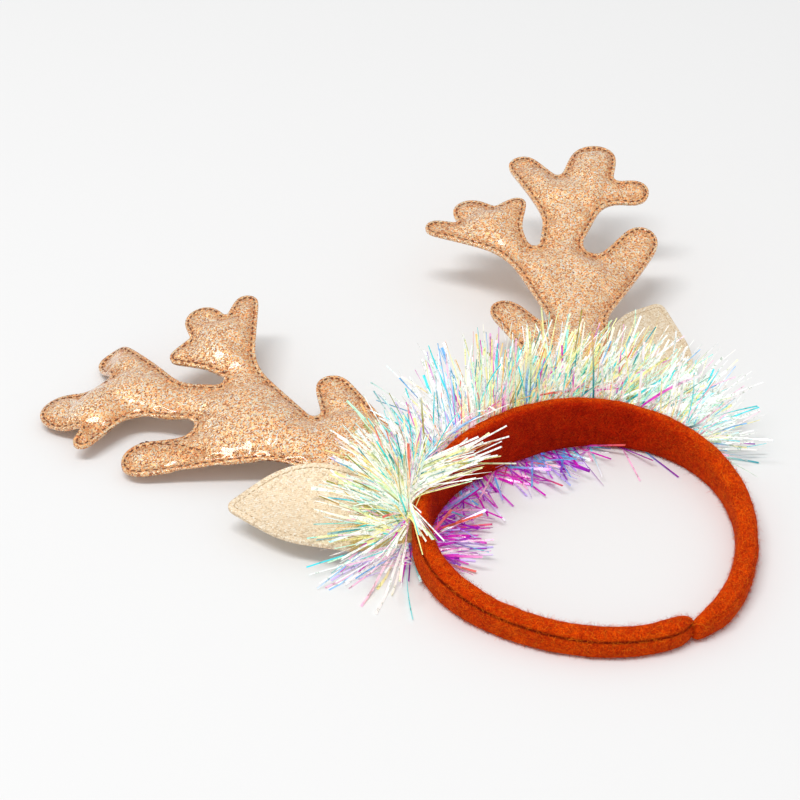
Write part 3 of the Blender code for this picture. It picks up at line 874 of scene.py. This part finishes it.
def over_strips(name, rows, seed):
    """Strips that rise out of the core and lean in over the band's top edge."""
    chance = np.random.default_rng(seed)
    count, (mix, first, last, forwards, inwards, rise, shortest, longest) = rows_drawn(rows)
    angle = np.radians(first + (last - first) * chance.random(count))
    plan, out, tangent = level_frame(angle)
    roots = np.column_stack([plan, core_top(angle)])
    share = np.linspace(0, 1, OVER_STEPS)[None, :, None]
    length = (shortest + (longest - shortest) * chance.random(count))[:, None, None]
    drift = chance.normal(0, OVER_DRIFT, (count, 1, 1))
    lean = inwards[:, None, None] + chance.normal(0, OVER_LEAN_SPREAD, (count, 1, 1))
    level = tangent[:, None] * (forwards[:, None, None] + drift) - out[:, None] * lean
    climb = chance.uniform(*OVER_CLIMB, (count, 1, 1)) * share
    start = np.clip((share - OVER_UPRIGHT) / (1 - OVER_UPRIGHT), 0, 1)
    centres = roots[:, None] + level * length * start
    centres = centres + out[:, None] * OVER_STAND_OFF * (1 - start)
    arch = rise[:, None, None] * np.sin(np.clip(share * OVER_ARCH, 0, 1) * math.pi / 2)
    centres = centres + UP * (arch + climb)
    facing = twisted(unit(np.gradient(centres, axis=1)), OVER_TWIST, chance)
    width = chance.uniform(*OVER_WIDTHS, (count, 1, 1)) / 2
    return strips_of(name, centres, facing * width, strip_tints(mix, OVER_STEPS, chance))


# The ears' curled ends

def curl_over(leaf, side):
    """Lift the leaf's rounded end off its base, which gets painted shade; places for its seam."""
    turn = -1.0 if side == "left" else 1.0
    heading = EAR_HEADINGS[side]
    along = np.array([turn * math.sin(heading), math.cos(heading)])
    across = np.array([-turn * math.cos(heading), math.sin(heading)])
    root = np.array(HOOP_CENTRE)[:2] + np.array([turn * EAR_ROOT[0], EAR_ROOT[1]])
    corners = corners_of(leaf)
    upper = np.array([vertex.normal.z for vertex in leaf.data.vertices]) > UPPER_FACE
    plan = corners[:, :2] / MM - root
    past = plan @ along - np.interp(plan @ across, *zip(*EAR_CURL))
    lip = np.clip(past / CURL_EDGE + 0.5, 0, 1) * np.exp(-np.maximum(past, 0) / CURL_FADE)
    corners[:, 2] += CURL_HEIGHT * MM * lip * upper
    move_corners(leaf, corners)
    # Where the base's painted shade falls
    marked(leaf, "base", np.clip(0.5 - past / CURL_EDGE, 0, 1))
    line = np.array(EAR_CURL)
    reach = np.concatenate([[0], np.cumsum(np.hypot(*np.diff(line, axis=0).T))])
    tree = surface_of(leaf)
    places = []
    for mark in np.arange(1.0, reach[-1], EAR_STITCH_LENGTH + EAR_STITCH_GAP):
        v, u = (np.interp(mark, reach, line[:, axis]) for axis in (0, 1))
        v_on, u_on = (np.interp(mark + 1.0, reach, line[:, axis]) for axis in (0, 1))
        ahead = along * (u_on - u) + across * (v_on - v)
        spot = root + along * (u + CURL_SEAM_IN) + across * v
        hit, _, _, _ = tree.ray_cast(Vector((*spot, 40.0)) * MM, Vector((0, 0, -1)))
        if hit is not None:
            places.append((hit, Vector((*ahead, 0.0)).normalized()))
    return places


# Materials

def new_material(name):
    """A material with its nodes and its Principled shader."""
    material = bpy.data.materials.new(name)
    material.use_nodes = True
    tree = material.node_tree
    return material, tree, tree.nodes["Principled BSDF"]


def fill(made, inputs):
    """Set or link the inputs of a node."""
    for key, value in inputs.items():
        if isinstance(value, bpy.types.NodeSocket):
            made.id_data.links.new(value, made.inputs[key])
        else:
            made.inputs[key].default_value = value


def node(tree, kind, inputs=None, **values):
    """Add a node, set its values and fill or link its inputs."""
    made = tree.nodes.new(kind)
    for key, value in values.items():
        setattr(made, key, value)
    fill(made, inputs or {})
    return made


def ramp(tree, factor, *stops):
    """A colour ramp through (place, colour) stops."""
    made = node(tree, "ShaderNodeValToRGB", {"Fac": factor})
    points = made.color_ramp.elements
    while len(points) < len(stops):
        points.new(0.5)
    for point, (place, colour) in zip(points, stops):
        point.position = place
        point.color = (*colour, 1.0)
    return made.outputs["Color"]


def blended(tree, below, above, factor=1.0, way="MULTIPLY"):
    """One colour laid over another."""
    inputs = {0: factor, 6: below, 7: above}
    made = node(tree, "ShaderNodeMix", inputs, data_type="RGBA", blend_type=way)
    return made.outputs[2]


def mark_of(tree, name):
    """A number that was stored on the piece's corners."""
    return node(tree, "ShaderNodeAttribute", attribute_name=name).outputs["Fac"]


def grain(tree, scale, detail=2.0, **more):
    """Noise in the object's own coordinates."""
    place = node(tree, "ShaderNodeTexCoord")
    inputs = {"Vector": place.outputs["Object"], "Scale": scale, "Detail": detail, **more}
    return node(tree, "ShaderNodeTexNoise", inputs).outputs["Fac"]


def flake_group():
    """Fine flakes: a brightness and a tilted normal each."""
    group = bpy.data.node_groups.new("sparkle_flakes", "ShaderNodeTree")
    for name, default in (("Scale", 1500.0), ("Tilt", 0.4)):
        socket = group.interface.new_socket(name, in_out="INPUT", socket_type="NodeSocketFloat")
        socket.default_value = default
    group.interface.new_socket("Value", in_out="OUTPUT", socket_type="NodeSocketFloat")
    group.interface.new_socket("Normal", in_out="OUTPUT", socket_type="NodeSocketVector")
    enter = node(group, "NodeGroupInput")
    leave = node(group, "NodeGroupOutput")

    def vector(operation, inputs):
        return node(group, "ShaderNodeVectorMath", inputs, operation=operation).outputs[0]

    place = node(group, "ShaderNodeTexCoord").outputs["Object"]
    cells = node(group, "ShaderNodeTexVoronoi", {"Vector": place, "Scale": enter.outputs["Scale"]})
    colour = cells.outputs["Color"]
    parts = node(group, "ShaderNodeSeparateColor", {"Color": colour})
    centred = vector("SUBTRACT", {0: colour, 1: (0.5, 0.5, 0.5)})
    scaled = vector("SCALE", {0: centred, "Scale": enter.outputs["Tilt"]})
    facing = node(group, "ShaderNodeNewGeometry").outputs["Normal"]
    tilted = vector("ADD", {0: facing, 1: scaled})
    fill(leave, {"Value": parts.outputs["Red"], "Normal": vector("NORMALIZE", {0: tilted})})
    return group


def placed(tree, group, **inputs):
    """Put a shared group into a material with its own values."""
    return node(tree, "ShaderNodeGroup", inputs, node_tree=group)


def glitter_vinyl(flakes):
    """Rose-gold glitter under a clear, glossy film."""
    material, tree, shader = new_material("rose_gold_glitter_vinyl")
    fine = placed(tree, flakes, Scale=1900.0, Tilt=0.95)
    coarse = placed(tree, flakes, Scale=1250.0, Tilt=0.7)
    base = ramp(
        tree,
        fine.outputs["Value"],
        (0.0, (0.30, 0.07, 0.008)),
        (0.2, (0.66, 0.25, 0.07)),
        (0.5, (0.98, 0.53, 0.22)),
        (0.75, (1.0, 0.82, 0.52)),
        (0.92, (1.0, 1.0, 0.92)),
    )
    shift = ramp(
        tree,
        coarse.outputs["Value"],
        (0.0, (0.88, 0.78, 0.66)),
        (0.45, (1, 1, 1)),
        (1.0, (1.2, 1.16, 1.1)),
    )
    # Painted shade, darkest in the groove by the stitches: the ramp runs over the ten millimetres
    # next to the outline
    depth = node(tree, "ShaderNodeMath", {0: mark_of(tree, "edge"), 1: 0.1}, operation="MULTIPLY")
    shade = ramp(
        tree,
        depth.outputs[0],
        (0.0, (0.95, 0.88, 0.80)),
        (0.1, (0.95, 0.84, 0.70)),
        (0.17, (0.80, 0.62, 0.44)),
        (0.3, (0.86, 0.70, 0.52)),
        (0.7, (1, 1, 1)),
    )
    waves = grain(tree, 60.0)
    film = node(tree, "ShaderNodeBump", {"Height": waves, "Strength": 0.14, "Distance": 0.001})
    fill(shader, {
        "Base Color": blended(tree, blended(tree, base, shift), shade),
        "Normal": fine.outputs["Normal"],
        "Metallic": 0.35,
        "Roughness": 0.42,
        "Coat Weight": 1.0,
        "Coat Roughness": 0.07,
        "Coat Normal": film.outputs["Normal"],
    })
    return material


def lame_cloth(flakes):
    """Beige-gold woven cloth with a fine metallic sparkle."""
    material, tree, shader = new_material("beige_gold_lame")
    fine = placed(tree, flakes, Scale=1600.0, Tilt=0.5)
    base = ramp(
        tree,
        fine.outputs["Value"],
        (0.0, (0.62, 0.46, 0.29)),
        (0.4, (0.80, 0.63, 0.43)),
        (0.8, (0.90, 0.75, 0.55)),
        (1.0, (1.0, 0.92, 0.78)),
    )
    place = node(tree, "ShaderNodeTexCoord").outputs["Object"]
    ribs = node(
        tree,
        "ShaderNodeTexWave",
        {"Vector": place, "Scale": 420.0, "Distortion": 0.6},
        wave_type="BANDS",
        bands_direction="DIAGONAL",
    )
    relief = {"Height": ribs.outputs["Fac"], "Strength": 0.25, "Distance": 0.0002}
    bump = node(tree, "ShaderNodeBump", {**relief, "Normal": fine.outputs["Normal"]})
    # The base under the curled end gets painted shade, tinted yellow as a painted reflection of
    # the tinsel
    fill(shader, {
        "Base Color": blended(tree, base, (0.80, 0.74, 0.40, 1.0), mark_of(tree, "base")),
        "Normal": bump.outputs["Normal"],
        "Metallic": 0.25,
        "Roughness": 0.5,
    })
    return material


def shaded_inside(tree, colour):
    """The felt's colour with painted shade: deeper and redder inside the crown."""
    return blended(tree, colour, (0.74, 0.30, 0.5, 1.0), mark_of(tree, "shade"))


def wool_felt(name, dark, middle, light):
    """Rust-orange felt: matted fibres in slightly different shades."""
    material, tree, shader = new_material(name)
    matted = grain(tree, 1100.0, 4.0, Roughness=0.65, Distortion=1.2)
    broad = {0: grain(tree, 130.0, 3.0), 1: 0.3, 2: 0.35}
    total = node(tree, "ShaderNodeMath", broad, operation="MULTIPLY_ADD")
    both = node(tree, "ShaderNodeMath", {0: matted, 1: total.outputs[0]}, operation="MULTIPLY")
    base = ramp(tree, both.outputs[0], (0.17, dark), (0.25, middle), (0.33, light))
    # Painted shade: the seam's groove is darkened towards near black
    painted_groove_shade = blended(tree, base, (0.12, 0.006, 0.0, 1.0), mark_of(tree, "seam"), "MIX")
    bump = node(tree, "ShaderNodeBump", {"Height": matted, "Strength": 0.6, "Distance": 0.0004})
    fill(shader, {
        "Base Color": shaded_inside(tree, painted_groove_shade),
        "Normal": bump.outputs["Normal"],
        "Roughness": 0.95,
        "Specular IOR Level": 0.08,
    })
    return material


def loose_wool(name, dark, middle, light):
    """Loose fibres of the felt, each in a tone of its own."""
    material, tree, shader = new_material(name)
    base = ramp(tree, mark_of(tree, "tone"), (0.0, dark), (0.55, middle), (1.0, light))
    # The fibres inside the crown get the same painted shade as the felt
    colour = shaded_inside(tree, base)
    fill(shader, {"Base Color": colour, "Roughness": 0.9, "Specular IOR Level": 0.1})
    return material


def thread(name, dark, light):
    """Sewing thread, in two shades."""
    material, tree, shader = new_material(name)
    base = ramp(tree, grain(tree, 900.0), (0.35, dark), (0.65, light))
    fill(shader, {"Base Color": base, "Roughness": 0.6})
    return material


def iridescent_film():
    """Crinkled, colour-shifting film: pale face on, deeper at a grazing view, with painted shade
    along its crinkles and a painted glow.
    """
    material, tree, shader = new_material("iridescent_film")
    tint = node(tree, "ShaderNodeVertexColor", layer_name="tint").outputs["Color"]
    glance = node(tree, "ShaderNodeLayerWeight", {"Blend": 0.35}).outputs["Facing"]
    shifted = {"Color": tint, "Saturation": 1.5, "Value": 0.92, "Hue": 0.47}
    strong = node(tree, "ShaderNodeHueSaturation", shifted).outputs["Color"]
    # Painted shade: thin darker bands along the film's crinkles
    painted_crinkle_shade = ramp(
        tree,
        grain(tree, 330.0, 1.0),
        (0.53, (1, 1, 1)),
        (0.60, (0.50, 0.58, 0.50)),
        (0.65, (1, 1, 1)),
    )
    colour = blended(tree, blended(tree, tint, strong, glance, "MIX"), painted_crinkle_shade)
    fill(shader, {
        "Base Color": colour,
        "Metallic": 0.15,
        "Roughness": 0.16,
        # Painted light: the film glows a little in its own colour
        "Emission Color": colour,
        "Emission Strength": 0.27,
    })
    return material


def paper_floor():
    """The studio's plain pale floor."""
    material, _, shader = new_material("pale_floor")
    pale = (0.84, 0.84, 0.84, 1.0)
    fill(shader, {"Base Color": pale, "Roughness": 0.9, "Specular IOR Level": 0.1})
    return material


def dress(piece, material, slot, *nodes):
    """Give a piece its finish, its body and what it stands for; its slot is not used."""
    piece.data.materials.clear()
    piece.data.materials.append(material)
    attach(piece, "root")
    if nodes:
        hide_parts(*nodes)


# Studio
FLOOR_SIZE = 8.0
CAMERA_PLACE = (-0.36455, -0.51939, 0.4975)
CAMERA_TILT = math.radians(53.37)
CAMERA_TURN = math.radians(-31.93)
CAMERA_RIGHT = (0.849, -0.529, 0.0)
CAMERA_LENS = 82.45
SKY_STRENGTH = 0.645
KEY_PLACE = (-0.80, 0.0, 2.4)
KEY_SIZE = (1.7, 0.45)
KEY_ENERGY = 34.0

bpy.ops.object.select_all(action="DESELECT")
bpy.ops.mesh.primitive_plane_add(size=FLOOR_SIZE, location=(0, 0, 0))
floor = bpy.context.active_object
floor.name = "floor"
floor.data.materials.append(paper_floor())

bpy.ops.object.camera_add(location=CAMERA_PLACE, rotation=(CAMERA_TILT, 0, CAMERA_TURN))
camera = bpy.context.active_object
camera.data.lens = CAMERA_LENS
camera.data.sensor_width = 36.0
camera.data.clip_start = 0.05
bpy.context.scene.camera = camera
bpy.context.scene.view_settings.view_transform = "Standard"

world = bpy.data.worlds.new("studio")
bpy.context.scene.world = world
world.use_nodes = True
fill(world.node_tree.nodes["Background"], {"Color": (1, 1, 1, 1), "Strength": SKY_STRENGTH})

bpy.ops.object.light_add(type="AREA", location=KEY_PLACE)
key = bpy.context.active_object
key.name = "key"
key.data.shape = "RECTANGLE"
key.data.size, key.data.size_y = KEY_SIZE
key.data.energy = KEY_ENERGY
# The light's long side runs across the picture
down = -Vector(KEY_PLACE).normalized()
wide = Vector(CAMERA_RIGHT)
wide = (wide - down * wide.dot(down)).normalized()
key.rotation_euler = Matrix((wide, wide.cross(down), -down)).transposed().to_euler()

# Finishes
flakes = flake_group()
vinyl = glitter_vinyl(flakes)
lame = lame_cloth(flakes)
felt = wool_felt("rust_felt", (0.34, 0.012, 0.0), (0.62, 0.042, 0.0), (0.86, 0.100, 0.0))
fibre = loose_wool("rust_fibre", (0.26, 0.012, 0.0), (0.66, 0.060, 0.0), (0.98, 0.26, 0.012))
copper_thread = thread("copper_thread", (0.10, 0.025, 0.006), (0.26, 0.08, 0.025))
beige_thread = thread("beige_thread", (0.42, 0.28, 0.14), (0.70, 0.52, 0.32))
film = iridescent_film()

# Pieces
band = copy_of("felt_band", "felt_sleeve", fatten=FELT_NAP)
crease_along_seam(band)
band = subdivided(band, levels=3)
rumple(band)
dress(band, felt, "felt", "felt_band")
dress(fuzz("felt_fibres", band, FIBRE_COUNT, seed=5), fibre, "felt")

for side in ("left", "right"):
    pad = copy_of(f"antler_{side}", f"antler_{side}_pad", crease=0.85)
    lines = rim_lines(pad)
    pad = subdivided(pad, levels=1)
    stuff(pad, lines)
    pad = subdivided(pad, levels=1)
    marked(pad, "edge", depth_inside(pad, lines) / MM)
    dress(pad, vinyl, "glitter_vinyl", f"antler_{side}")
    places = seam_places(lines, ANTLER_SEAM_IN, STITCH_LENGTH + STITCH_GAP)
    sizes = (STITCH_LENGTH, STITCH_WIDTH, STITCH_HEIGHT)
    stitches = sew(f"antler_{side}_stitches", pad, places, *sizes)
    dress(stitches, copper_thread, "glitter_vinyl")

for side in ("left", "right"):
    leaf = copy_of(f"ear_{side}", f"ear_{side}_leaf", crease=0.8)
    lines = rim_lines(leaf)
    leaf = subdivided(leaf, levels=3)
    curl = curl_over(leaf, side)
    dress(leaf, lame, "lame", f"ear_{side}")
    places = seam_places(lines, EAR_SEAM_IN, EAR_STITCH_LENGTH + EAR_STITCH_GAP) + curl
    sizes = (EAR_STITCH_LENGTH, EAR_STITCH_WIDTH, EAR_STITCH_HEIGHT)
    stitches = sew(f"ear_{side}_stitches", leaf, places, *sizes)
    dress(stitches, beige_thread, "lame")

for number, row in enumerate(STRIP_ROWS):
    strips = tinsel_strips(f"tinsel_{row[0]}", *row, seed=STRIP_SEED + number)
    dress(strips, film, "tinsel", "tinsel_garland")
dress(under_strips("tinsel_inner", UNDER_ROWS, UNDER_SEED), film, "tinsel")
dress(over_strips("tinsel_over_edge", OVER_ROWS, OVER_SEED), film, "tinsel")
